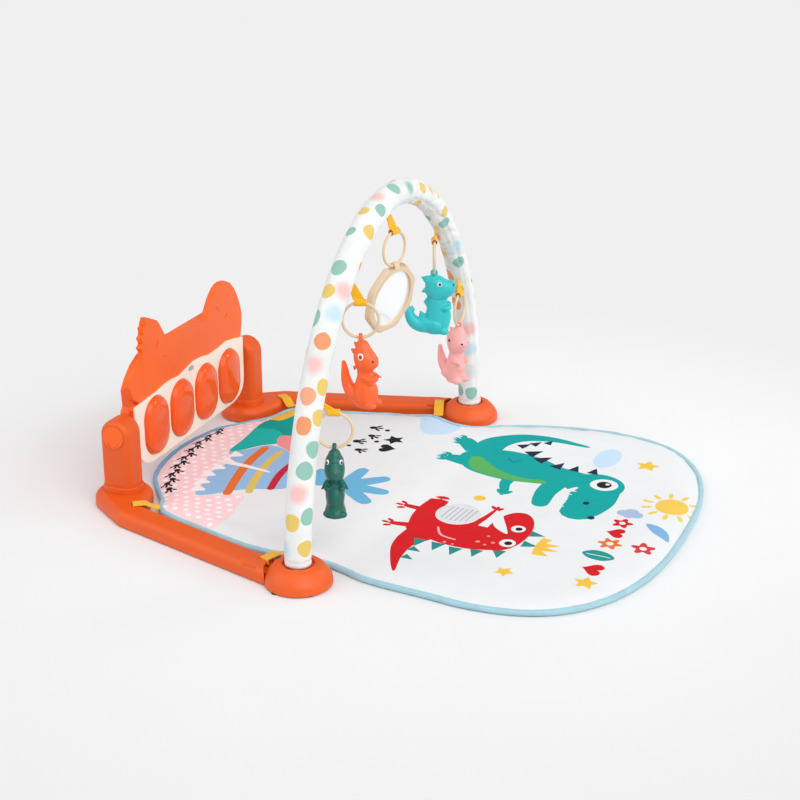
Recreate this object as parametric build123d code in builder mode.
"""Baby activity play gym: padded arch with hanging toys, hinged toy piano and floor mat.

Millimetres, +Z up, floor at z = 0. The origin is the floor midpoint between the two
arch feet. +X runs from the piano end to the round end of the mat. Right is the -Y
side and left is the +Y side; a `side` value is -1 for right and +1 for left.
"""
from build123d import *
import os
from collections import namedtuple
from math import sin, cos, pi, radians, sqrt

os.makedirs("parts", exist_ok=True)

UP = Vector(0, 0, 1)
SIDES = (-1, 1)
run_fit = 0.05             # radial clearance of round fits

# ---- base rails ----
base_z0 = 1.5              # underside of rails and feet, on top of the rubber pads
rail_h = 20.0
rail_r = 20.0              # half width of the rail
rail_top_fillet = 11
rail_wall = 2.6
corner_r = 40.0            # radius of the corner under the post
bend = (-289.4, 234.8)     # plan points of the left rail
rail_end = (-34.4, 309.8)

# ---- tongue of the rail, which plugs into the arch foot ----
tongue_x, tongue_y = -62, 301.7
tongue_angle = 16.4        # degrees from +X, outward
tongue_z = base_z0 + 4.5
tongue_len, tongue_w, tongue_h = 46, 24, 8
tongue_fit = 0.25          # clearance on each side of the tongue
tongue_screw = 33.5        # screw place along the tongue

# ---- arch ----
arch_half = 304.0          # half span of the arch centreline
arch_base_z = 24.3         # height where the straight socket run ends
arch_rise = 407.9          # rise of the curved part
arch_exp = 1.944           # superellipse exponent
tube_r = 12.5
tube_wall = 2.0
tube_z0 = 7.0
sleeve_ri, sleeve_ro = 12.6, 17.8
# fractions of the arch length
joint_gap = 0.0004         # from the apex to the end of each tube
connector_half = 0.045
sleeve_end = 0.0006

# ---- arch feet ----
foot_r = 44.0
foot_h = 28.0
foot_rim = 2.8             # wall thickness at the floor

# ---- posts ----
post_x, post_y = -331.0, 182.0
post_w, post_d = 46.0, 38.0
post_wall = 3.5
pivot_z = 105.0
collar_top = 31.0
collar_wall = 3.5
post_z0 = collar_top + 0.1
spigot_z0 = 9.2
spigot_corner = 15
spigot_fit = 0.15
post_screw_dx = 12
cap_r = 16.0
pin_r = 7.0                # journal in the post
stub_r = 4.5               # stub inside the piano

# ---- mat ----
mat_top = 13.0
bind_w = 8.0

# rubber pad centres on the left side
rail_pads = [(post_x - 27, post_y - 13), (post_x - 4, post_y + 28)]
foot_pads = [(28.0, 330.0), (26.0, 276.0), (-14.0, 342.0)]

# mat straps on the left rail: slot x, slot y, direction x, direction y, strap run
straps = [
    (-290.5, 224.0, -0.82, 0.57, 36.0),
    (-50.0, 301.0, -0.34, 0.94, 46.0),
]


def save(part, name):
    """Label a piece and write its STEP file."""
    part.label = name
    export_step(part, "parts/" + name + ".step")


def along_y(x, y, z, direction):
    """Plane at (x, y, z) with local x along +X and its normal along +Y or -Y."""
    return Plane(origin=(x, y, z), x_dir=(1, 0, 0), z_dir=(0, direction, 0))


def on_side(side, sites):
    """Move left-side plan points to the given side."""
    return [(x, side * y) for x, y in sites]


def post_screw_sites(side):
    return [(post_x - post_screw_dx, side * post_y), (post_x + post_screw_dx, side * post_y)]


def tongue_plane(side, z):
    """Horizontal plane at height z with local x running out along the tongue."""
    angle = radians(tongue_angle * side)
    return Plane(origin=(tongue_x, side * tongue_y, z),
                 x_dir=(cos(angle), sin(angle), 0), z_dir=(0, 0, 1))


def cross_slot(length, width):
    """Draw a screwdriver cross in the open sketch."""
    Rectangle(length, width)
    Rectangle(width, length)


def build_screws(plane, sites, head_r, head_h, shank_r, shank_len, slot, slot_depth):
    """Screws with head faces on the plane, pointing along its normal."""
    with BuildPart() as screws:
        with BuildSketch(plane):
            with Locations(*sites):
                Circle(head_r)
        extrude(amount=head_h)
        with BuildSketch(plane.offset(head_h)):
            with Locations(*sites):
                Circle(shank_r)
        extrude(amount=shank_len)
        with BuildSketch(plane):
            with Locations(*sites):
                cross_slot(*slot)
        extrude(amount=slot_depth, mode=Mode.SUBTRACT)
    return screws.part


# ===========================================================================
# Base rails
# ===========================================================================
def build_rail(side):
    """Side rail, hollow from below, with the post collar and the foot tongue."""
    corner_at = (post_x, side * post_y)
    bend_at = (bend[0], side * bend[1])
    end_at = (rail_end[0], side * rail_end[1])
    tongue = tongue_plane(side, tongue_z)
    with BuildPart() as rail:
        # plan outline: corner disc, bend and straight run to the foot
        with BuildSketch(Plane.XY.offset(base_z0)):
            with BuildSketch(mode=Mode.PRIVATE) as corner_run:
                with Locations(corner_at):
                    Circle(corner_r)
                with Locations(bend_at):
                    Circle(rail_r)
            make_hull(corner_run.sketch.edges())
            with BuildSketch(mode=Mode.PRIVATE) as straight_run:
                with Locations(bend_at, end_at):
                    Circle(rail_r)
            make_hull(straight_run.sketch.edges())
        extrude(amount=rail_h)
        fillet(rail.faces().sort_by(Axis.Z)[-1].edges(), rail_top_fillet)
        # open underside
        offset(amount=-rail_wall, openings=rail.faces().sort_by(Axis.Z)[0])
        # collar that receives the post
        with BuildSketch(Plane.XY.offset(base_z0)):
            with Locations(corner_at):
                RectangleRounded(post_w + 2 * collar_wall, post_d + 2 * collar_wall, 18)
        extrude(amount=collar_top - base_z0)
        fillet(rail.faces().filter_by(Axis.Z).sort_by(Axis.Z)[-1].edges(), 1.5)
        # pocket for the post spigot
        with BuildSketch(Plane.XY.offset(9.0)):
            with Locations(corner_at):
                RectangleRounded(post_w + 2 * spigot_fit, post_d + 2 * spigot_fit,
                                 spigot_corner + spigot_fit)
        extrude(amount=40, mode=Mode.SUBTRACT)
        # two counterbored screw holes up into the post: radius, depth
        for hole_r, depth in ((2.2, 10), (4.2, 4.0)):
            with BuildSketch(Plane.XY.offset(base_z0)):
                with Locations(*post_screw_sites(side)):
                    Circle(hole_r)
            extrude(amount=depth, mode=Mode.SUBTRACT)
        # block under the roof that roots the tongue
        with BuildSketch(tongue):
            with Locations((4, 0)):
                Rectangle(22, 35.6)
        extrude(amount=13.4)
        # room for the foot
        with BuildSketch(Plane.XY.offset(-1)):
            with Locations((0, side * arch_half)):
                Circle(foot_r + 0.25)
        extrude(amount=60, mode=Mode.SUBTRACT)
        # tongue with its screw hole
        with BuildSketch(tongue):
            with Locations((16, 0)):
                Rectangle(tongue_len, tongue_w)
        extrude(amount=tongue_h)
        with BuildSketch(tongue):
            with Locations((tongue_screw, 0)):
                Circle(1.3)
        extrude(amount=tongue_h, mode=Mode.SUBTRACT)
        # slots for the two mat straps
        for slot_x, slot_y, dir_x, dir_y, _ in straps:
            with BuildSketch(Plane(origin=(slot_x, side * slot_y, 8),
                                   x_dir=(dir_x, side * dir_y, 0), z_dir=(0, 0, 1))):
                Rectangle(4.4, 17.0)
            extrude(amount=30, mode=Mode.SUBTRACT)
        # solid discs above the rubber pads
        with BuildSketch(Plane.XY.offset(base_z0)):
            with Locations(*on_side(side, rail_pads)):
                Circle(6.0)
        extrude(amount=1.6)
    return rail.part


save(build_rail(-1), "rail_right")
save(build_rail(1), "rail_left")


# ===========================================================================
# Arch feet
# ===========================================================================
def build_foot(side):
    """Domed hollow foot with a socket for the arch tube."""
    foot_y = side * arch_half
    socket_ri = tube_r + run_fit
    socket_ro = tube_r + 3.2
    rim_ri = foot_r - foot_rim
    tongue = tongue_plane(side, tongue_z - tongue_fit)
    with BuildPart() as foot:
        # dome shell and socket as one revolved section: radius, height
        with BuildSketch(along_y(0, foot_y, 0, -1)):
            with BuildLine():
                Polyline((socket_ri, 5.0), (socket_ri, 23.5), (20.0, 24.2),
                         (20.6, foot_h - 0.6), (21.6, foot_h), (24.0, foot_h))
                Spline((24.0, foot_h), (34.5, 22.6), (41.8, 13.0), (foot_r, base_z0),
                       tangents=[(1, -0.08), (0.02, -1)])
                Polyline((foot_r, base_z0), (rim_ri, base_z0))
                Spline((rim_ri, base_z0), (38.9, 12.0), (32.6, 20.2), (23.5, 24.8),
                       tangents=[(0, 1), (-1, 0.1)])
                Polyline((23.5, 24.8), (22.5, 21.4), (socket_ro, 20.4), (socket_ro, base_z0),
                         (5, base_z0), (5, 5.0), (socket_ri, 5.0))
            make_face()
        revolve(axis=Axis((0, foot_y, 0), (0, 0, 1)))
        # window for the rail tongue
        with BuildSketch(tongue):
            with Locations((20, 0)):
                Rectangle(tongue_len, tongue_w + 2 * tongue_fit)
        extrude(amount=tongue_h + 2 * tongue_fit, mode=Mode.SUBTRACT)
        # screw boss and cross rib under the tongue
        with BuildSketch(tongue):
            with Locations((tongue_screw, 0)):
                Circle(4.6)
        extrude(amount=-(tongue_z - tongue_fit - base_z0))
        with BuildSketch(tongue):
            with Locations((tongue_screw, 0)):
                Rectangle(3.0, 34)
        extrude(amount=-3.0)
        # screw hole and head recess
        with BuildSketch(tongue.offset(1)):
            with Locations((tongue_screw, 0)):
                Circle(1.75)
        extrude(amount=-10, mode=Mode.SUBTRACT)
        with BuildSketch(tongue.offset(-6)):
            with Locations((tongue_screw, 0)):
                Circle(3.4)
        extrude(amount=3.75, mode=Mode.SUBTRACT)
        # trim everything to the foot's own cylinder
        with BuildSketch(Plane.XY.offset(base_z0)):
            with Locations((0, foot_y)):
                Circle(foot_r)
        extrude(amount=foot_h, mode=Mode.INTERSECT)
    return foot.part


save(build_foot(-1), "foot_right")
save(build_foot(1), "foot_left")

# head in the foot boss, shank in the rail tongue
foot_screw_sites = []
for side in SIDES:
    site = tongue_plane(side, 0).from_local_coords(Vector(tongue_screw, 0, 0))
    foot_screw_sites.append((site.X, site.Y))
save(build_screws(Plane.XY.offset(base_z0 + 0.2), foot_screw_sites,
                  head_r=3.0, head_h=1.7, shank_r=1.25, shank_len=9.5,
                  slot=(3.6, 0.8), slot_depth=0.9), "foot_screws")


# ===========================================================================
# Posts that carry the piano
# ===========================================================================
def build_post(side):
    """Hollow post with a round head, a spigot below and the pivot bore."""
    center_y = side * post_y
    with BuildPart() as post:
        with BuildSketch(along_y(0, center_y, 0, -1)):
            with Locations((post_x, (pivot_z + post_z0) / 2)):
                Rectangle(post_w, pivot_z - post_z0)
            with Locations((post_x, pivot_z)):
                Circle(post_w / 2)
        extrude(amount=post_d / 2, both=True)
        fillet(post.faces().filter_by(Axis.Y).edges()
               .filter_by(lambda e: e.center().Z > collar_top + 1), 9)
        # spigot that stands in the collar
        with BuildSketch(Plane.XY.offset(spigot_z0)):
            with Locations((post_x, center_y)):
                RectangleRounded(post_w, post_d, spigot_corner)
        extrude(amount=collar_top + 1.0 - spigot_z0)
        # cavity from below
        with BuildSketch(Plane.XY.offset(spigot_z0)):
            with Locations((post_x, center_y)):
                RectangleRounded(post_w - 2 * post_wall, post_d - 2 * post_wall, 11)
        extrude(amount=pivot_z - 15 - spigot_z0, mode=Mode.SUBTRACT)
        # screw bosses and their cross web in the spigot
        with BuildSketch(Plane.XY.offset(spigot_z0)):
            with Locations(*post_screw_sites(side)):
                Circle(4.0)
                Rectangle(2.4, post_d - 4)
            with Locations((post_x, center_y)):
                Rectangle(post_w - 4, 2.4)
        extrude(amount=16)
        with BuildSketch(Plane.XY.offset(spigot_z0)):
            with Locations(*post_screw_sites(side)):
                Circle(1.3)
        extrude(amount=12, mode=Mode.SUBTRACT)
        # journal bore and the cap recess on the outer face
        with BuildSketch(along_y(0, center_y, 0, -1)):
            with Locations((post_x, pivot_z)):
                Circle(pin_r + run_fit)
        extrude(amount=40, both=True, mode=Mode.SUBTRACT)
        with BuildSketch(along_y(post_x, center_y + side * (post_d / 2 - 2.2), pivot_z, side)):
            Circle(cap_r + 0.3)
        extrude(amount=6, mode=Mode.SUBTRACT)
    return post.part


save(build_post(-1), "post_right")
save(build_post(1), "post_left")

save(build_screws(Plane.XY.offset(base_z0 + 1.2), post_screw_sites(-1) + post_screw_sites(1),
                  head_r=3.8, head_h=2.8, shank_r=1.25, shank_len=14,
                  slot=(4.4, 0.9), slot_depth=1.3), "post_screws")

# rubber pads under the rails and feet
with BuildPart() as rubber_pads:
    with BuildSketch(Plane.XY):
        with Locations(*on_side(-1, rail_pads + foot_pads), *on_side(1, rail_pads + foot_pads)):
            Circle(5.0)
    extrude(amount=base_z0)
    fillet(rubber_pads.edges().group_by(Axis.Z)[0], 0.4)
save(rubber_pads.part, "rubber_pads")


# ===========================================================================
# Arch: two tube halves, apex connector, padded sleeve
# ===========================================================================
def arch_point(angle):
    """Point of the arch centreline, angle from 0 (right foot) to pi (left foot)."""
    across, up = cos(angle), sin(angle)
    y = -arch_half * (1 if across >= 0 else -1) * abs(across) ** (2 / arch_exp)
    z = arch_base_z + arch_rise * abs(up) ** (2 / arch_exp)
    return (0.0, y, z)


arch_points = [arch_point(pi * i / 24) for i in range(25)]
# exact ends
arch_points[0] = (0.0, -arch_half, arch_base_z)
arch_points[-1] = (0.0, arch_half, arch_base_z)

with BuildLine() as arch_line:
    Spline(*arch_points, tangents=[(0, 0, 1), (0, 0, -1)])
arch_curve = arch_line.line.edges()[0]


def build_tube(side):
    """Half of the arch tube: straight socket run, then the curve up to the apex."""
    if side < 0:
        half_curve = arch_curve.trim(0, 0.5 - joint_gap)
    else:
        half_curve = arch_curve.trim(0.5 + joint_gap, 1)
    with BuildPart() as tube:
        with BuildLine():
            Line((0, side * arch_half, tube_z0), (0, side * arch_half, arch_base_z))
            add(half_curve)
        with BuildSketch(Plane(origin=(0, side * arch_half, tube_z0), z_dir=(0, 0, 1))):
            Circle(tube_r)
            Circle(tube_r - tube_wall, mode=Mode.SUBTRACT)
        sweep()
    return tube.part


def plane_on(curve, fraction):
    """Plane square to the curve at a fraction of its length."""
    return Plane(origin=curve @ fraction, z_dir=curve % fraction)


def sweep_round(curve, plane, outer_r, inner_r=None):
    """Round bar, or tube if an inner radius is given, along a curve."""
    with BuildPart() as bar:
        with BuildLine():
            add(curve)
        with BuildSketch(plane):
            Circle(outer_r)
            if inner_r is not None:
                Circle(inner_r, mode=Mode.SUBTRACT)
        sweep()
    return bar.part


save(build_tube(-1), "arch_tube_right")
save(build_tube(1), "arch_tube_left")

connector_curve = arch_curve.trim(0.5 - connector_half, 0.5 + connector_half)
save(sweep_round(connector_curve, plane_on(connector_curve, 0),
                 tube_r - tube_wall - run_fit, tube_r - tube_wall - 2.4), "arch_connector")
save(sweep_round(arch_curve.trim(sleeve_end, 1 - sleeve_end), plane_on(arch_curve, sleeve_end),
                 sleeve_ro, sleeve_ri), "arch_sleeve")

# solid envelope of the sleeve, used to trim the tabs
sleeve_envelope = sweep_round(arch_curve, plane_on(arch_curve, 0), sleeve_ro + 0.05)

# ===========================================================================
# Tabs and rings
# ===========================================================================
ring_R, wire_r = 23.5, 2.0
tab_r = 4.7                # loop round the ring wire
tab_hole_r = 3.6
tab_half_w = 8.0
tab_half_top = 2.6         # half width of the web at the arch

# axis: horizontal ring axis; along: wire direction at the top and bottom of the ring
Hanger = namedtuple("Hanger", "top bottom axis along web_end")


def make_hanger(top, axis_xy, web_end):
    axis = Vector(*axis_xy, 0).normalized()
    top = Vector(*top)
    return Hanger(top, top - UP * (2 * ring_R), axis, UP.cross(axis).normalized(),
                  Vector(*web_end))


# top of the ring wire, ring axis (x, y), end of the tab web inside the arch
hangers = {
    "a": make_hanger((24.0, -243.0, 213.2), (0.391, -0.920), (0, -256.5, 236)),
    "b": make_hanger((18.0, -147.0, 328.0), (0.391, -0.920), (0, -158.0, 375)),
    "c": make_hanger((15.0, -30.0, 391.0), (0.970, -0.242), (0, -31.0, 431)),
    "d": make_hanger((-2.0, 155.0, 327.0), (0.920, 0.391), (0, 160.0, 367)),
    "e": make_hanger((13.3, 219.0, 230.5), (0.998, 0.054), (0, 246.0, 262)),
}


def build_tab(hanger):
    """Fabric tab: loop round the ring wire and a tapered web up to the sleeve."""
    top, axis, along = hanger.top, hanger.axis, hanger.along
    web = Plane(origin=top, x_dir=along,
                z_dir=along.cross(hanger.web_end - top).normalized())
    web_tip = web.to_local_coords(hanger.web_end)
    with BuildPart() as tab:
        with BuildSketch(Plane(origin=top - along * tab_half_w, x_dir=axis, z_dir=along)):
            Circle(tab_r)
        extrude(amount=2 * tab_half_w)
        with BuildSketch(web):
            with BuildLine():
                Polyline((-tab_half_w, 0), (tab_half_w, 0),
                         (web_tip.X + tab_half_top, web_tip.Y),
                         (web_tip.X - tab_half_top, web_tip.Y), close=True)
            make_face()
        extrude(amount=1.1, both=True)
        with BuildSketch(Plane(origin=top - along * 20.0, x_dir=axis, z_dir=along)):
            Circle(tab_hole_r)
        extrude(amount=40.0, mode=Mode.SUBTRACT)
        add(sleeve_envelope, mode=Mode.SUBTRACT)
    # the largest solid is the piece outside the sleeve
    outside = tab.part.solids().sort_by(SortBy.VOLUME)[-1]
    with BuildPart() as trimmed_tab:
        add(outside)
    return trimmed_tab.part


def build_ring(hanger):
    center = hanger.top - UP * ring_R
    with BuildPart(Plane(origin=center, x_dir=hanger.along, z_dir=hanger.axis)) as ring:
        Torus(ring_R, wire_r)
    return ring.part


for key, hanger in hangers.items():
    save(build_tab(hanger), "tab_" + key)
    save(build_ring(hanger), "ring_" + key)

# ===========================================================================
# Rattle figures and their beads
# ===========================================================================
lug_half_w = 2.6
lug_r = 5.6
lug_hole_r = 2.45
bead_r = 2.5

# All offsets start at the bottom of the ring wire; `ahead` is along the face direction,
# heights are along +Z.
#   face      horizontal direction the figure looks along (x, y)
#   body      sections, top down: height, ahead, half length, half width
#   tail      stations from root to tip: ahead, height, radius
#   chamber   hollow sections, laid out as the body
#   spikes    ahead, height, direction ahead, direction up, base radius, length
#   limbs     ball pairs, arms then feet: ahead, sideways, height, radius
toys = {
    "green": dict(
        hanger=hangers["a"], face=(0.391, -0.920),
        body=[(-4, 0, 5, 5), (-10, 0, 9.5, 8.5), (-20, 3, 15, 12), (-29, 6, 18, 13),
              (-38, 5, 15, 11.5), (-45, 1, 11.5, 10.5), (-56, 0, 14, 11.5), (-70, 0, 16, 12),
              (-81, 0, 16, 12), (-86, 1, 17.5, 13.5), (-92, 1, 17, 13)],
        tail=[(-8, -80, 8.5), (-18, -77, 8), (-26, -68, 6.5), (-30, -56, 4.6),
              (-31, -46, 2.6)],
        chamber=[(-52, 0, 9, 7.5), (-66, 0, 12, 9), (-80, 0, 12.5, 9.2), (-88.5, 0, 11, 9)],
        spikes=[(-12, -24, -1, 0.3, 4, 7), (-12.5, -52, -1, 0.2, 4, 6)],
        limbs=[(12, 9.5, -52, 4.0), (12, 6.5, -88, 5.5)]),
    "orange": dict(
        hanger=hangers["b"], face=(0.9990, -0.036),
        body=[(-4, 2, 5, 5), (-10, 3, 9, 8.5), (-20, 5, 13.5, 12), (-29, 7.5, 16.6, 13.5),
              (-37, 8, 15, 12.5), (-44, 6, 10.5, 10), (-51, 6, 10.5, 10.5), (-60, 6, 13, 12),
              (-72, 6, 16, 14), (-84, 6, 15.5, 14), (-93, 6, 13, 12.5)],
        tail=[(-4, -79, 10.5), (-13, -76, 9.5), (-20, -66, 7.5), (-23, -52, 5.5),
              (-25, -38, 3.0)],
        chamber=[(-56, 6, 8.5, 8), (-68, 6, 12, 10.5), (-80, 6, 12.5, 11),
                 (-89.5, 6, 10.5, 9.5)],
        spikes=[(-6, -22, -1, 0.4, 4, 6)],
        limbs=[(17, 7.5, -57, 4.2), (15, 8, -89, 6)]),
    "teal": dict(
        hanger=hangers["d"], face=(0.92, 0.391),
        body=[(-4, 0, 5, 5), (-8, 1, 11, 8), (-14, 6, 19, 12), (-22, 9, 22, 13.5),
              (-30, 8, 20.5, 13), (-37, 6, 15.5, 11.5), (-44, 5, 14, 11.5), (-56, 6, 17, 13),
              (-70, 6, 19, 14), (-82, 4, 18, 13.5), (-91, 3, 13, 11)],
        tail=[(-2, -76, 13), (-16, -79, 11.5), (-28, -75, 9.5), (-35, -65, 7.5),
              (-38, -54, 4.5)],
        chamber=[(-46, 5, 11, 8.5), (-60, 6, 14, 10.5), (-74, 6, 15, 11), (-87, 4, 11, 9)],
        spikes=[(-9, -14, -1, 0.5, 4.5, 8), (-10, -27, -1, -0.1, 4.5, 8),
                (-8, -49, -1, 0.5, 4.2, 6.5), (-30, -57, -0.2, 1, 3.6, 6)],
        limbs=[(21, 8, -50, 4.5), (13, 8, -86, 6)]),
    "pink": dict(
        hanger=hangers["e"], face=(0.93, -0.366),
        body=[(-4, 0, 5, 5), (-9, -3, 10, 9), (-17, -5, 14.5, 13), (-27, -4, 16.5, 14.5),
              (-37, -3.5, 15, 13.5), (-45, -5, 11, 10.5), (-53, -6, 12, 11.5),
              (-66, -7, 15, 13.5), (-78, -7, 16, 14), (-87, -7, 15, 13.5),
              (-92, -7, 12.5, 12)],
        tail=[(-14, -79, 10.5), (-24, -76, 9.5), (-33, -67, 7.5), (-37, -55, 5.2),
              (-39, -43, 2.8)],
        chamber=[(-56, -6, 9, 8.5), (-68, -7, 11.5, 10), (-80, -7, 12.5, 10.5),
                 (-88.5, -7, 10.5, 9.5)],
        spikes=[(-18, -20, -1, 0.5, 4, 6)],
        limbs=[(6, 8.5, -58, 4.2), (4, 8, -87.5, 6)]),
}


def toy_placer(hanger, face):
    """Return a function that turns toy offsets into a world point."""
    sideways = UP.cross(face)

    def at(ahead, aside, height):
        return hanger.bottom + face * ahead + sideways * aside + UP * height
    return at


def build_toy(hanger, face, body, tail, chamber, spikes, limbs):
    """Moulded hollow figure with a lug that hangs on the ring wire."""
    wire, along, axis = hanger.bottom, hanger.along, hanger.axis
    face = Vector(*face, 0).normalized()
    sideways = UP.cross(face)
    at = toy_placer(hanger, face)
    underside_z = body[-1][0]

    def level(ahead, height):
        return Plane(origin=at(ahead, 0, height), x_dir=face, z_dir=(0, 0, 1))

    with BuildPart() as toy:
        for height, ahead, half_len, half_w in body:
            with BuildSketch(level(ahead, height)):
                Ellipse(half_len, half_w)
        loft()
        # tail, each section square to the line between its neighbours
        for i, (ahead, height, radius) in enumerate(tail):
            before = tail[max(i - 1, 0)]
            after = tail[min(i + 1, len(tail) - 1)]
            heading = (face * (after[0] - before[0]) + UP * (after[1] - before[1])).normalized()
            with BuildSketch(Plane(origin=at(ahead, 0, height), x_dir=sideways, z_dir=heading)):
                Circle(radius)
        loft()
        tip_ahead, tip_height, tip_r = tail[-1]
        with Locations(at(tip_ahead, 0, tip_height)):
            Sphere(tip_r)
        for ahead, height, dir_ahead, dir_up, radius, length in spikes:
            heading = (face * dir_ahead + UP * dir_up).normalized()
            with BuildPart(Plane(origin=at(ahead, 0, height), x_dir=sideways, z_dir=heading),
                           mode=Mode.PRIVATE) as spike:
                Cone(radius, 0.8, length, align=(Align.CENTER, Align.CENTER, Align.MIN))
            add(spike.part)
        for ahead, aside, height, radius in limbs:
            with Locations(at(ahead, aside, height), at(ahead, -aside, height)):
                Sphere(radius)
        # flat underside
        with BuildSketch(level(0, underside_z)):
            Rectangle(200, 200)
        extrude(amount=150, mode=Mode.INTERSECT)
        # hanging lug across the wire (sketch y runs along world Z)
        with BuildSketch(Plane(origin=wire - along * lug_half_w, x_dir=-axis, z_dir=along)):
            Circle(lug_r)
            with Locations((0, -6)):
                Rectangle(10.5, 12)
        extrude(amount=2 * lug_half_w)
        # clear space for the wire on both sides of the lug, then the lug hole
        for end in (-1, 1):
            with BuildSketch(Plane(origin=wire + along * (lug_half_w * end),
                                   x_dir=axis * (-end), z_dir=along * end)):
                with Locations((0, 6.2)):
                    Rectangle(34, 20)
            extrude(amount=22, mode=Mode.SUBTRACT)
        with BuildSketch(Plane(origin=wire - along * 2.8, x_dir=-axis, z_dir=along)):
            Circle(lug_hole_r)
        extrude(amount=5.6, mode=Mode.SUBTRACT)
        # rattle chamber with a vent in the underside
        for height, ahead, half_len, half_w in chamber:
            with BuildSketch(level(ahead, height)):
                Ellipse(half_len, half_w)
        loft(mode=Mode.SUBTRACT)
        with BuildSketch(level(chamber[-1][1], underside_z - 1)):
            Circle(1.5)
        extrude(amount=8, mode=Mode.SUBTRACT)
    return toy.part


def build_beads(hanger, face, chamber):
    """Four beads near the chamber floor and one on top."""
    at = toy_placer(hanger, Vector(*face, 0).normalized())
    floor_z, ahead = chamber[-1][:2]
    z = floor_z + 2.8
    with BuildPart() as beads:
        with Locations(at(ahead + 5, 0, z), at(ahead - 5, 0, z),
                       at(ahead, 5, z), at(ahead, -5, z), at(ahead, 0, z + 5.2)):
            Sphere(bead_r)
    return beads.part


for colour, toy in toys.items():
    save(build_toy(**toy), "toy_" + colour)
    save(build_beads(toy["hanger"], toy["face"], toy["chamber"]), "beads_" + colour)

# ===========================================================================
# Mirror toy on ring c
# ===========================================================================
frame_apothem = 47.0       # centre to flat of the eight-sided frame
frame_thick = 10
frame_open_r = 39.4
seat_r = 42.0              # seat for the sheet and the back
seat_plane_w = -7          # start of the cuts, behind the frame
seat_cut = 9
disc_r = 41.7              # mirror sheet and back
lug_up, lug_out = 46.2, -1.2      # mirror lug from the frame centre: up, along the normal
mirror_lug_half = 4.2

mirror_n = Vector(0.954, -0.239, -0.184).normalized()
mirror_t = UP.cross(Vector(mirror_n.X, mirror_n.Y, 0)).normalized()
mirror_up = mirror_n.cross(mirror_t).normalized()
mirror_center = hangers["c"].bottom - mirror_up * (lug_up + 0.45) - mirror_n * lug_out
mirror_plane = Plane(origin=mirror_center, x_dir=mirror_t, z_dir=mirror_n)
mirror_axis = Axis(mirror_center, mirror_n)

with BuildPart() as mirror_frame:
    with BuildSketch(mirror_plane.offset(-frame_thick / 2)) as frame_outline:
        RegularPolygon(frame_apothem, 8, major_radius=False, rotation=22.5)
        fillet(frame_outline.vertices(), 14)
    extrude(amount=frame_thick)
    fillet(mirror_frame.faces().sort_by(mirror_axis)[-1].edges(), 2.6)
    fillet(mirror_frame.faces().sort_by(mirror_axis)[0].edges(), 2.2)
    with BuildSketch(mirror_plane.offset(seat_plane_w)):
        Circle(seat_r)
    extrude(amount=seat_cut, mode=Mode.SUBTRACT)
    with BuildSketch(mirror_plane.offset(seat_plane_w)):
        Circle(frame_open_r)
    extrude(amount=26, mode=Mode.SUBTRACT)
    # clear notches beside the lug
    with BuildSketch(mirror_plane.offset(seat_plane_w)):
        with Locations((-10.8, 50.5), (10.8, 50.5)):
            Rectangle(13.2, 14)
    extrude(amount=20, mode=Mode.SUBTRACT)
    # hanging lug and its hole
    lug_start = (mirror_center + mirror_up * lug_up + mirror_n * lug_out
                 - mirror_t * mirror_lug_half)
    with BuildSketch(Plane(origin=lug_start, x_dir=mirror_n, z_dir=mirror_t)):
        Circle(5.4)
    extrude(amount=2 * mirror_lug_half)
    with BuildSketch(Plane(origin=lug_start - mirror_t * 10, x_dir=mirror_n, z_dir=mirror_t)):
        Circle(2.9)
    extrude(amount=30, mode=Mode.SUBTRACT)
    # clear the lug out of the seat
    with BuildSketch(mirror_plane.offset(seat_plane_w)):
        Circle(seat_r)
    extrude(amount=seat_cut, mode=Mode.SUBTRACT)
save(mirror_frame.part, "mirror_frame")

with BuildPart() as mirror_sheet:
    with BuildSketch(mirror_plane.offset(0.4)):
        Circle(disc_r)
    extrude(amount=1.5)
save(mirror_sheet.part, "mirror_sheet")

back_w = -4.2              # rear face of the back disc
with BuildPart() as mirror_back:
    with BuildSketch(mirror_plane.offset(back_w)):
        Circle(disc_r)
    extrude(amount=4.5)
    fillet(mirror_back.edges().filter_by(GeomType.CIRCLE).sort_by(mirror_axis)[0], 1.2)
    # ring groove in the rear face
    with BuildSketch(mirror_plane.offset(back_w)):
        Circle(34)
        Circle(31, mode=Mode.SUBTRACT)
    extrude(amount=0.8, mode=Mode.SUBTRACT)
save(mirror_back.part, "mirror_back")

# ===========================================================================
# Piano. Its front faces +X; sketches on PIANO use (y, z) as their coordinates.
# ===========================================================================
PIANO = Plane(origin=(0, 0, 0), x_dir=(0, 1, 0), z_dir=(1, 0, 0))
split_x = post_x           # front shell and rear cover meet on the pivot axis
shell_front_x = -323.0
bezel_front_x = -320.0
bezel_seat_x = shell_front_x - 0.4
rear_x = -352.0
cover_depth = split_x - rear_x

key_y = [-107.0, -35.5, 36.0, 107.0]
key_z = 91.0
key_w, key_h = 60.0, 86.0
key_gap = 0.6
key_sites = [(y, key_z) for y in key_y]
contact_z = (key_z - 12, key_z + 14)     # two contacts behind each key

button_site = (-3.0, 141.0)
button_window = (13.0, 6.6)
battery_y, battery_z = 0.0, 162.0        # battery tray centre
speaker_site = (100.0, 168.0)
switch_y, switch_z = -70.0, 165.0
board_x = split_x - 4.6                  # rear face of the circuit board
board_t = 1.6
door_screw_site = (battery_y, battery_z - 19)

# screws joining shell and cover; the first five pass through the board outline
boss_sites = [(-71.25, 56), (71.5, 56), (-71.25, 128), (71.5, 128), (0.25, 62),
              (-110, 168), (134, 178)]

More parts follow.
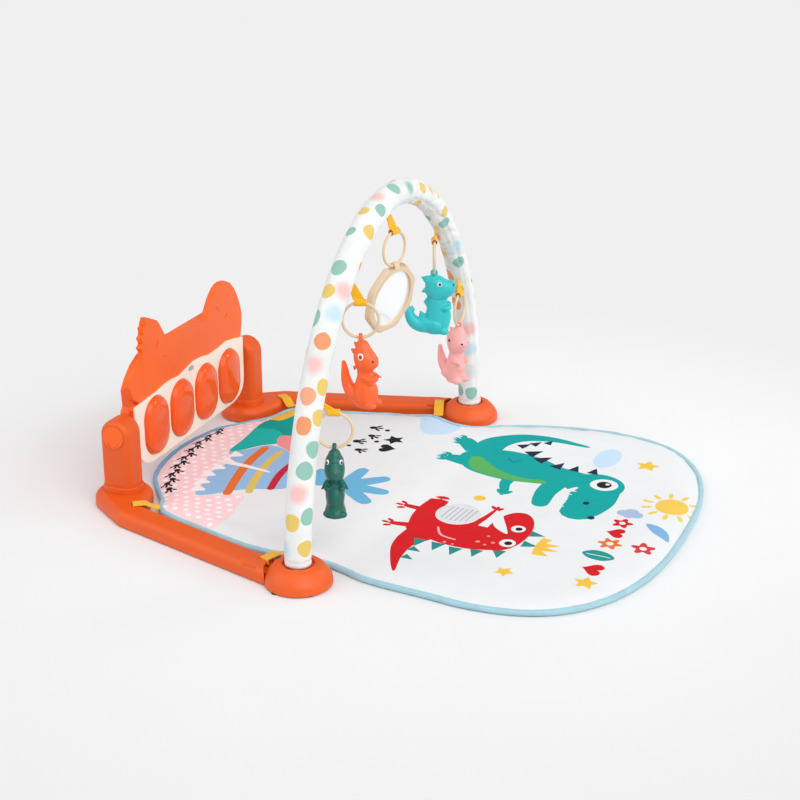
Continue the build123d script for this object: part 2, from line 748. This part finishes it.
# outlines as (y, z) points, clockwise seen from the front (y to the right)
bezel_outline = [
    (-158, 134), (-132, 136), (-119, 137), (-97, 138), (-77, 141), (-55, 142), (-35, 140),
    (-11, 144.5), (10, 148.5), (33, 147), (54, 143), (82, 144), (108, 147), (133, 143),
    (158, 138),
    (158, 74), (156.2, 64), (150.5, 54.5), (142, 48), (131, 43.5), (118, 41.5),
    (-118, 38.5), (-131, 41), (-142, 46.5), (-150.5, 54.5), (-156.2, 64), (-158, 74)]
bezel_top = bezel_outline[:15]
# smooth crest, used for the hollow and the rear flange
crest_core = [
    (-141, 136), (-156, 148), (-160, 157), (-164, 166), (-163, 174), (-156, 179),
    (-147, 185), (-137, 190), (-125, 194), (-122, 205), (-121, 217), (-118, 236),
    (-112, 248), (-103, 249), (-96, 244), (-89, 241), (-83, 237), (-77, 230),
    (-70, 220), (-58, 202), (-40, 204), (-23, 206), (-6, 204), (11, 200), (32, 201),
    (46, 197), (56, 200), (66, 213), (76, 225), (90, 236), (105, 239), (117, 237),
    (130, 230), (141, 220), (150, 206), (157, 191), (161, 175), (160.5, 160), (157, 138)]
# outer crest: the same figure with small back plates along its -Y edge and top
crest = [
    (-141, 134.5), (-157, 146), (-161, 156), (-166, 166), (-165, 175), (-157, 181),
    (-148, 187), (-138, 192), (-127, 196), (-125, 205), (-131, 212), (-124, 217),
    (-129, 226), (-121, 230), (-124, 240), (-115, 241), (-115, 252), (-107, 250.5),
    (-99, 246.5), (-91, 243), (-83, 239), (-77, 232), (-70, 221), (-58, 203),
    (-40, 205), (-23, 207), (-6, 205), (11, 201), (32, 202), (46, 198), (56, 201),
    (66, 214), (73, 226), (82, 230), (92, 240), (103, 241), (117, 239), (131, 232),
    (142, 221), (151, 207), (158.5, 191), (163, 175), (162, 160), (157, 138)]
# lower panel that closes either crest
shell_low = [
    (154, 120), (154, 70), (146, 53), (133, 46), (118, 44),
    (-118, 44), (-133, 46), (-146, 53), (-154, 70), (-154, 128)]
casing_outline = [
    (-144, 128), (-146, 152), (-134, 168), (-118, 182), (-100, 191), (-60, 195),
    (60, 195), (112, 195), (134, 191), (147, 181), (151, 164), (150, 120),
    (150, 72), (143, 58), (132, 51), (118, 49),
    (-118, 49), (-132, 51), (-143, 58), (-150, 72), (-150, 120)]
# grooves on the crest: y, z, half length, half width, rotation
face_grooves = [
    (-88, 205, 6.5, 2.2, 35), (-72, 182, 5.0, 1.8, -20),
    (86, 205, 6.5, 2.2, -35), (112, 186, 5.0, 1.8, 20)]


def shrink(points, inset):
    """Inset a clockwise outline with mitred corners, limiting the sharpest mitres."""
    moved = []
    for i, (x, y) in enumerate(points):
        x_before, y_before = points[i - 1]
        x_after, y_after = points[(i + 1) % len(points)]
        in_x, in_y = x - x_before, y - y_before
        out_x, out_y = x_after - x, y_after - y
        in_len = sqrt(in_x * in_x + in_y * in_y)
        out_len = sqrt(out_x * out_x + out_y * out_y)
        normal_x = in_y / in_len + out_y / out_len
        normal_y = -in_x / in_len - out_x / out_len
        reach = 2 * inset / max(normal_x * normal_x + normal_y * normal_y, 1.1)
        moved.append((x + normal_x * reach, y + normal_y * reach))
    return moved


def key_slot(growth, mode=Mode.ADD):
    """Draw the upright key outline in the open sketch, grown by a total amount."""
    SlotOverall(key_h + growth, key_w + growth, rotation=90, mode=mode)


# ---- front shell ----
with BuildPart() as front_shell:
    with BuildSketch(PIANO.offset(split_x)):
        with BuildLine():
            Polyline(*crest, *shell_low, close=True)
        make_face()
    extrude(amount=shell_front_x - split_x)
    fillet(front_shell.faces().sort_by(Axis.X)[-1].edges(), 1.4)
    # hollow from the split plane
    with BuildSketch(PIANO.offset(split_x)):
        with BuildLine():
            Polyline(*shrink(crest_core + shell_low, 2.5), close=True)
        make_face()
    extrude(amount=5.5, mode=Mode.SUBTRACT)
    # screw bosses
    with BuildSketch(PIANO.offset(split_x)):
        with Locations(*boss_sites):
            Circle(3.8)
    extrude(amount=6)
    with BuildSketch(PIANO.offset(split_x)):
        with Locations(*boss_sites):
            Circle(1.25)
    extrude(amount=6, mode=Mode.SUBTRACT)
    # pivot saddles at both ends, bored and trimmed at the split plane
    for side in SIDES:
        with BuildSketch(along_y(split_x, side * 154, pivot_z, 1)):
            Rectangle(11.4, 15)
        extrude(amount=-side * 9)
    with BuildSketch(along_y(split_x, -170, pivot_z, 1)):
        Circle(stub_r + run_fit)
    extrude(amount=340, mode=Mode.SUBTRACT)
    with BuildSketch(PIANO.offset(split_x)):
        Rectangle(800, 800)
    extrude(amount=-40, mode=Mode.SUBTRACT)
    # key windows and the button window
    with BuildSketch(PIANO.offset(split_x)):
        with Locations(*key_sites):
            key_slot(2 * key_gap)
        with Locations(button_site):
            SlotOverall(*button_window)
    extrude(amount=30, mode=Mode.SUBTRACT)
    # shallow step that seats the bezel
    with BuildSketch(PIANO.offset(bezel_seat_x)):
        with BuildLine():
            Polyline(*bezel_top, (158, 30), (-158, 30), close=True)
        make_face()
    extrude(amount=5, mode=Mode.SUBTRACT)
    with BuildSketch(PIANO.offset(shell_front_x - 0.8)):
        for y, z, half_len, half_w, angle in face_grooves:
            with Locations((y, z)):
                Ellipse(half_len, half_w, rotation=angle)
    extrude(amount=3, mode=Mode.SUBTRACT)
save(front_shell.part, "piano_front_shell")

# ---- bezel round the keys ----
with BuildPart() as bezel:
    with BuildSketch(PIANO.offset(bezel_seat_x)):
        with BuildLine():
            Polyline(*bezel_outline, close=True)
        make_face()
        with Locations(*key_sites):
            key_slot(2 * key_gap, mode=Mode.SUBTRACT)
        with Locations(button_site):
            SlotOverall(*button_window, mode=Mode.SUBTRACT)
    extrude(amount=bezel_front_x - bezel_seat_x)
    fillet(bezel.faces().sort_by(Axis.X)[-1].outer_wire().edges(), 1.2)
save(bezel.part, "piano_bezel")

# ---- rear cover ----
with BuildPart() as rear_cover:
    # flange at the split plane follows the front shell
    with BuildSketch(PIANO.offset(split_x)):
        with BuildLine():
            Polyline(*shrink(crest_core + shell_low, 1.2), close=True)
        make_face()
    extrude(amount=-3.2)
    # deep casing
    with BuildSketch(PIANO.offset(split_x)):
        with BuildLine():
            Polyline(*casing_outline, close=True)
        make_face()
    extrude(amount=-cover_depth)
    chamfer(rear_cover.faces().sort_by(Axis.X)[0].edges(), 2.5)
    # cavity
    with BuildSketch(PIANO.offset(split_x)):
        with BuildLine():
            Polyline(*shrink(casing_outline, 3.4), close=True)
        make_face()
    extrude(amount=-(cover_depth - 2.8), mode=Mode.SUBTRACT)
    # battery tray walls, opened through to the rear, and the recess for the lid
    with BuildSketch(PIANO.offset(split_x - 1.0)):
        with Locations((battery_y, battery_z)):
            Rectangle(65, 52)
    extrude(amount=-19)
    with BuildSketch(PIANO.offset(split_x - 2.4)):
        with Locations((battery_y, battery_z)):
            Rectangle(61, 48)
    extrude(amount=-40, mode=Mode.SUBTRACT)
    with BuildSketch(PIANO.offset(rear_x)):
        with Locations((battery_y, battery_z)):
            RectangleRounded(71, 56, 3)
    extrude(amount=2.4, mode=Mode.SUBTRACT)
    # screw columns and counterbored holes
    with BuildSketch(PIANO.offset(split_x - 0.05)):
        with Locations(*boss_sites):
            Circle(4.4)
    extrude(amount=-(cover_depth - 1.5))
    with BuildSketch(PIANO.offset(split_x + 1)):
        with Locations(*boss_sites):
            Circle(1.7)
    extrude(amount=-40, mode=Mode.SUBTRACT)
    with BuildSketch(PIANO.offset(rear_x - 1)):
        with Locations(*boss_sites):
            Circle(3.5)
    extrude(amount=10.0, mode=Mode.SUBTRACT)
    # posts that hold the circuit board
    with BuildSketch(PIANO.offset(rear_x + 2.0)):
        with Locations((-121, 64), (121, 64), (-121, 120), (121, 120)):
            Circle(3.0)
    extrude(amount=board_x - rear_x - 2.05)
    # pivot saddles, bored and trimmed just behind the split plane
    for side in SIDES:
        with BuildSketch(along_y(split_x, side * 150, pivot_z, 1)):
            Rectangle(14, 15)
        extrude(amount=-side * 9)
    with BuildSketch(along_y(split_x, -170, pivot_z, 1)):
        Circle(stub_r + run_fit)
    extrude(amount=340, mode=Mode.SUBTRACT)
    with BuildSketch(PIANO.offset(split_x - 0.05)):
        Rectangle(800, 800)
    extrude(amount=40, mode=Mode.SUBTRACT)
    # loudspeaker grille and collar
    with BuildSketch(PIANO.offset(rear_x - 1)):
        with Locations(speaker_site):
            Circle(1.3)
            with PolarLocations(6.5, 6):
                Circle(1.3)
            with PolarLocations(13, 12):
                Circle(1.3)
    extrude(amount=6, mode=Mode.SUBTRACT)
    with BuildSketch(PIANO.offset(rear_x + 2.6)):
        with Locations(speaker_site):
            Circle(22.0)
            Circle(20.3, mode=Mode.SUBTRACT)
    extrude(amount=4)
    # power switch slot in a shallow recess
    with BuildSketch(PIANO.offset(rear_x - 1)):
        with Locations((switch_y, switch_z)):
            RectangleRounded(16, 6.4, 1)
    extrude(amount=6, mode=Mode.SUBTRACT)
    with BuildSketch(PIANO.offset(rear_x)):
        with Locations((switch_y, switch_z)):
            RectangleRounded(22, 11, 2)
    extrude(amount=1.0, mode=Mode.SUBTRACT)
save(rear_cover.part, "piano_rear_cover")

save(build_screws(PIANO.offset(rear_x + 6.4), boss_sites,
                  head_r=3.0, head_h=2.5, shank_r=1.2, shank_len=14,
                  slot=(3.8, 0.8), slot_depth=1.2), "cover_screws")

# ---- battery lid and its screw ----
door_x = rear_x + 0.1
with BuildPart() as battery_door:
    with BuildSketch(PIANO.offset(door_x)):
        with Locations((battery_y, battery_z)):
            RectangleRounded(70.4, 55.4, 2.8)
    extrude(amount=2.1)
    # four grip grooves
    with BuildSketch(PIANO.offset(door_x)):
        with Locations(*[(battery_y, battery_z + 14 - 6 * i) for i in range(4)]):
            Rectangle(34, 1.6)
    extrude(amount=0.7, mode=Mode.SUBTRACT)
    with BuildSketch(PIANO.offset(rear_x - 1)):
        with Locations(door_screw_site):
            Circle(2.0)
    extrude(amount=6, mode=Mode.SUBTRACT)
save(battery_door.part, "battery_door")

door_head_x = rear_x - 1.5
with BuildPart() as door_screw:
    with BuildSketch(PIANO.offset(door_head_x)):
        with Locations(door_screw_site):
            Circle(3.2)
    extrude(amount=door_x - door_head_x)
    fillet(door_screw.faces().sort_by(Axis.X)[0].edges(), 0.6)
    with BuildSketch(PIANO.offset(door_x)):
        with Locations(door_screw_site):
            Circle(1.5)
    extrude(amount=2.2)
    with BuildSketch(PIANO.offset(door_head_x)):
        with Locations(door_screw_site):
            cross_slot(3.8, 0.8)
    extrude(amount=0.9, mode=Mode.SUBTRACT)
save(door_screw.part, "battery_door_screw")

# ---- three AA cells lying across the tray, and their contacts ----
cell_x = rear_x + 10.4
cell_pitch = 15.2
cell_len = 48.2
cell_start = 24.6          # flat end of the cell from the tray centre
# height and the direction along Y of the positive end
cells = [(battery_z + (i - 1) * cell_pitch, 1 if i % 2 == 0 else -1) for i in range(3)]

with BuildPart() as batteries:
    for z, direction in cells:
        with BuildSketch(along_y(cell_x, -cell_start * direction, z, direction)):
            Circle(7.1)
        extrude(amount=cell_len)
        with BuildSketch(along_y(cell_x, (cell_len - cell_start) * direction, z, direction)):
            Circle(2.6)
        extrude(amount=1.6)
save(batteries.part, "batteries")

with BuildPart() as battery_contacts:
    for z, direction in cells:
        for side in SIDES:
            with BuildSketch(along_y(cell_x, side * 30.2, z, -side)):
                Rectangle(10, 11)
            extrude(amount=0.6)
        # tapered spring at the flat end
        with BuildSketch(along_y(cell_x, -29.7 * direction, z, direction)):
            Circle(3.4)
            Circle(2.4, mode=Mode.SUBTRACT)
        extrude(amount=4.9, taper=8)
save(battery_contacts.part, "battery_contacts")

# ---- loudspeaker: rim, tapered basket, magnet ----
speaker_r = 20.0
with BuildPart() as speaker:
    with BuildSketch(PIANO.offset(rear_x + 3.0)):
        with Locations(speaker_site):
            Circle(speaker_r)
            Circle(16.0, mode=Mode.SUBTRACT)
    extrude(amount=1.6)
    with BuildSketch(PIANO.offset(rear_x + 4.6)):
        with Locations(speaker_site):
            Circle(speaker_r)
    extrude(amount=3.4, taper=35)
    with BuildSketch(PIANO.offset(rear_x + 8.0)):
        with Locations(speaker_site):
            Circle(9.0)
    extrude(amount=5.5)
save(speaker.part, "speaker")

# ---- circuit board behind the keys ----
with BuildPart() as circuit_board:
    with BuildSketch(PIANO.offset(board_x)):
        with Locations((0, 92)):
            RectangleRounded(256, 77, 3)
        with Locations(*boss_sites[:5]):
            Circle(5.0, mode=Mode.SUBTRACT)
    extrude(amount=board_t)
    # surface components on the rear
    with BuildSketch(PIANO.offset(board_x)):
        with Locations((-35, 92)):
            Rectangle(12, 12)
        with Locations((30, 112), (30, 74), (-20, 112), (55, 96)):
            Rectangle(6, 4)
    extrude(amount=-1.6)
save(circuit_board.part, "circuit_board")

# ---- rubber contact pads on the board under the key stems ----
with BuildPart() as key_pads:
    for y in key_y:
        with BuildSketch(PIANO.offset(board_x + board_t)):
            with Locations((y, contact_z[0]), (y, contact_z[1])):
                Circle(5.5)
        extrude(amount=0.8)
save(key_pads.part, "key_contact_pads")

# ---- keys ----
key_back_x = split_x + 3.2


def build_key(y):
    """Hollow key with a retaining flange and two stems."""
    with BuildPart() as key:
        with BuildSketch(PIANO.offset(key_back_x)):
            with Locations((y, key_z)):
                key_slot(2.6)
        extrude(amount=2.1)
        with BuildSketch(PIANO.offset(key_back_x)):
            with Locations((y, key_z)):
                key_slot(0)
        extrude(amount=12.6)
        fillet(key.faces().sort_by(Axis.X)[-1].edges(), 4.2)
        with BuildSketch(PIANO.offset(key_back_x)):
            with Locations((y, key_z)):
                key_slot(-6)
        extrude(amount=8.0, mode=Mode.SUBTRACT)
        with BuildSketch(PIANO.offset(split_x + 1.0)):
            with Locations((y, contact_z[0]), (y, contact_z[1])):
                Circle(3.0)
        extrude(amount=11.0)
    return key.part


for i, y in enumerate(key_y):
    save(build_key(y), "key_%d" % (i + 1))

# ---- mode button with a flange behind the shell ----
button_back_x = split_x + 3.7
with BuildPart() as mode_button:
    with BuildSketch(PIANO.offset(button_back_x)):
        with Locations(button_site):
            SlotOverall(16.0, 9.0)
    extrude(amount=1.6)
    with BuildSketch(PIANO.offset(button_back_x)):
        with Locations(button_site):
            SlotOverall(12.0, 5.6)
    extrude(amount=8.9)
    fillet(mode_button.faces().sort_by(Axis.X)[-1].edges(), 0.8)
save(mode_button.part, "mode_button")

# ---- power switch, slid towards -Y in its slot ----
knob_y = switch_y - 3.5
knob_x = rear_x - 0.8
groove_pitch = 1.8
with BuildPart() as power_switch:
    with BuildSketch(PIANO.offset(rear_x + 3.0)):
        with Locations((knob_y, switch_z)):
            RectangleRounded(13, 9, 1)
    extrude(amount=2.0)
    with BuildSketch(PIANO.offset(knob_x)):
        with Locations((knob_y, switch_z)):
            RectangleRounded(7, 5.6, 1)
    extrude(amount=4.4)
    with BuildSketch(PIANO.offset(knob_x)):
        with Locations((knob_y - groove_pitch, switch_z), (knob_y, switch_z),
                       (knob_y + groove_pitch, switch_z)):
            Rectangle(0.7, 6)
    extrude(amount=0.5, mode=Mode.SUBTRACT)
save(power_switch.part, "power_switch")

# ---- pivot pins, turning with the piano, each with its outer cap ----
pin_inner_y = 146.0
journal_start = 12.6       # distances from the inner end of the pin
post_face = post_y + post_d / 2 - pin_inner_y
cap_start = post_face - 2.1
cap_face = post_face + 2.0


def build_pin(side):
    inner_end = along_y(split_x, side * pin_inner_y, pivot_z, side)
    with BuildPart() as pin:
        with BuildSketch(inner_end):
            Circle(stub_r)
        extrude(amount=13)
        with BuildSketch(inner_end.offset(journal_start)):
            Circle(pin_r)
        extrude(amount=cap_start - journal_start)
        with BuildSketch(inner_end.offset(cap_start)):
            Circle(cap_r)
        extrude(amount=cap_face - cap_start)
        fillet(pin.edges().filter_by(GeomType.CIRCLE).sort_by(Axis.Y)[-1 if side > 0 else 0],
               1.2)
        # crescent recess near the bottom of the cap (local y points down on the left)
        with BuildSketch(inner_end.offset(cap_face)):
            with Locations((0, 7.5 * side)):
                Circle(8.5)
            with Locations((0, 4.0 * side)):
                Circle(8.5, mode=Mode.SUBTRACT)
        extrude(amount=-0.9, mode=Mode.SUBTRACT)
    return pin.part


save(build_pin(-1), "pivot_pin_right")
save(build_pin(1), "pivot_pin_left")

# ===========================================================================
# Mat
# ===========================================================================
# right half of the edge from the piano end to the wide end: x, y
mat_half = [
    (-355, 0), (-353.5, -30), (-349, -62), (-336, -103), (-315, -133), (-296, -156),
    (-281, -176), (-270, -199), (-256, -214), (-234, -224), (-200, -235), (-150, -250),
    (-100, -263), (-60, -267), (-40, -264), (-20, -258.5), (0, -256.5), (20, -259),
    (44, -268), (70, -280), (100, -289), (133, -296), (170, -302)]
# the round end is a quarter superellipse on each side
round_x = 214.0            # its centre
round_len, round_half_w = 210.6, 307.0
round_exp = 2.55
for i in range(13):
    angle = pi / 2 * i / 12
    mat_half.append((round_x + round_len * abs(sin(angle)) ** (2 / round_exp),
                     -round_half_w * abs(cos(angle)) ** (2 / round_exp)))


def mat_skew(x):
    """Y shift: the wide end of the mat lies slightly off the centre line."""
    blend = min(max(x / 190.0, 0.0), 1.0)
    return 15.0 * blend * blend * (3 - 2 * blend)


def inset_smooth(points, distance):
    """Move every point of a counterclockwise outline inward along its local normal."""
    moved = []
    for i, (x, y) in enumerate(points):
        x_before, y_before = points[i - 1]
        x_after, y_after = points[(i + 1) % len(points)]
        run_x, run_y = x_after - x_before, y_after - y_before
        length = sqrt(run_x * run_x + run_y * run_y)
        moved.append((x - run_y / length * distance, y + run_x / length * distance))
    return moved


mat_outline = mat_half + [(x, -y) for x, y in mat_half[-2:0:-1]]
mat_outline = [(x, y + mat_skew(x)) for x, y in mat_outline]

with BuildPart() as mat_pad:
    with BuildSketch(Plane.XY):
        with BuildLine():
            Spline(*inset_smooth(mat_outline, bind_w), periodic=True)
        make_face()
    extrude(amount=mat_top)
save(mat_pad.part, "mat_pad")

# edge binding, standing a little above the pad
with BuildPart() as mat_binding:
    with BuildSketch(Plane.XY):
        with BuildLine():
            Spline(*mat_outline, periodic=True)
        make_face()
        with BuildLine():
            Spline(*inset_smooth(mat_outline, bind_w - 0.3), periodic=True)
        make_face(mode=Mode.SUBTRACT)
    extrude(amount=mat_top + 1.0)
save(mat_binding.part, "mat_binding")

# fabric straps from the mat edge up onto the rails, tongue down in the slot
strap_low = base_z0 + rail_h + 0.3       # underside over the rail
strap_t = 1.8
strap_end_z = mat_top + 1.2              # underside over the mat
strap_tongue_z = 15.5
with BuildPart() as mat_straps:
    for slot_x, slot_y, dir_x, dir_y, run in straps:
        for side in SIDES:
            inward = Vector(-dir_x, -side * dir_y, 0)
            with BuildSketch(Plane(origin=(slot_x, side * slot_y, 0), x_dir=inward,
                                   z_dir=inward.cross(UP))):
                with BuildLine():
                    Polyline((-1.0, strap_tongue_z), (-1.0, strap_low + strap_t),
                             (run * 0.45, strap_low + strap_t),
                             (run * 0.8, strap_end_z + strap_t), (run, strap_end_z + strap_t),
                             (run, strap_end_z), (run * 0.8 - 0.4, strap_end_z),
                             (run * 0.45 - 0.4, strap_low), (0.9, strap_low),
                             (0.9, strap_tongue_z), close=True)
                make_face()
            extrude(amount=7.5, both=True)
save(mat_straps.part, "mat_straps")
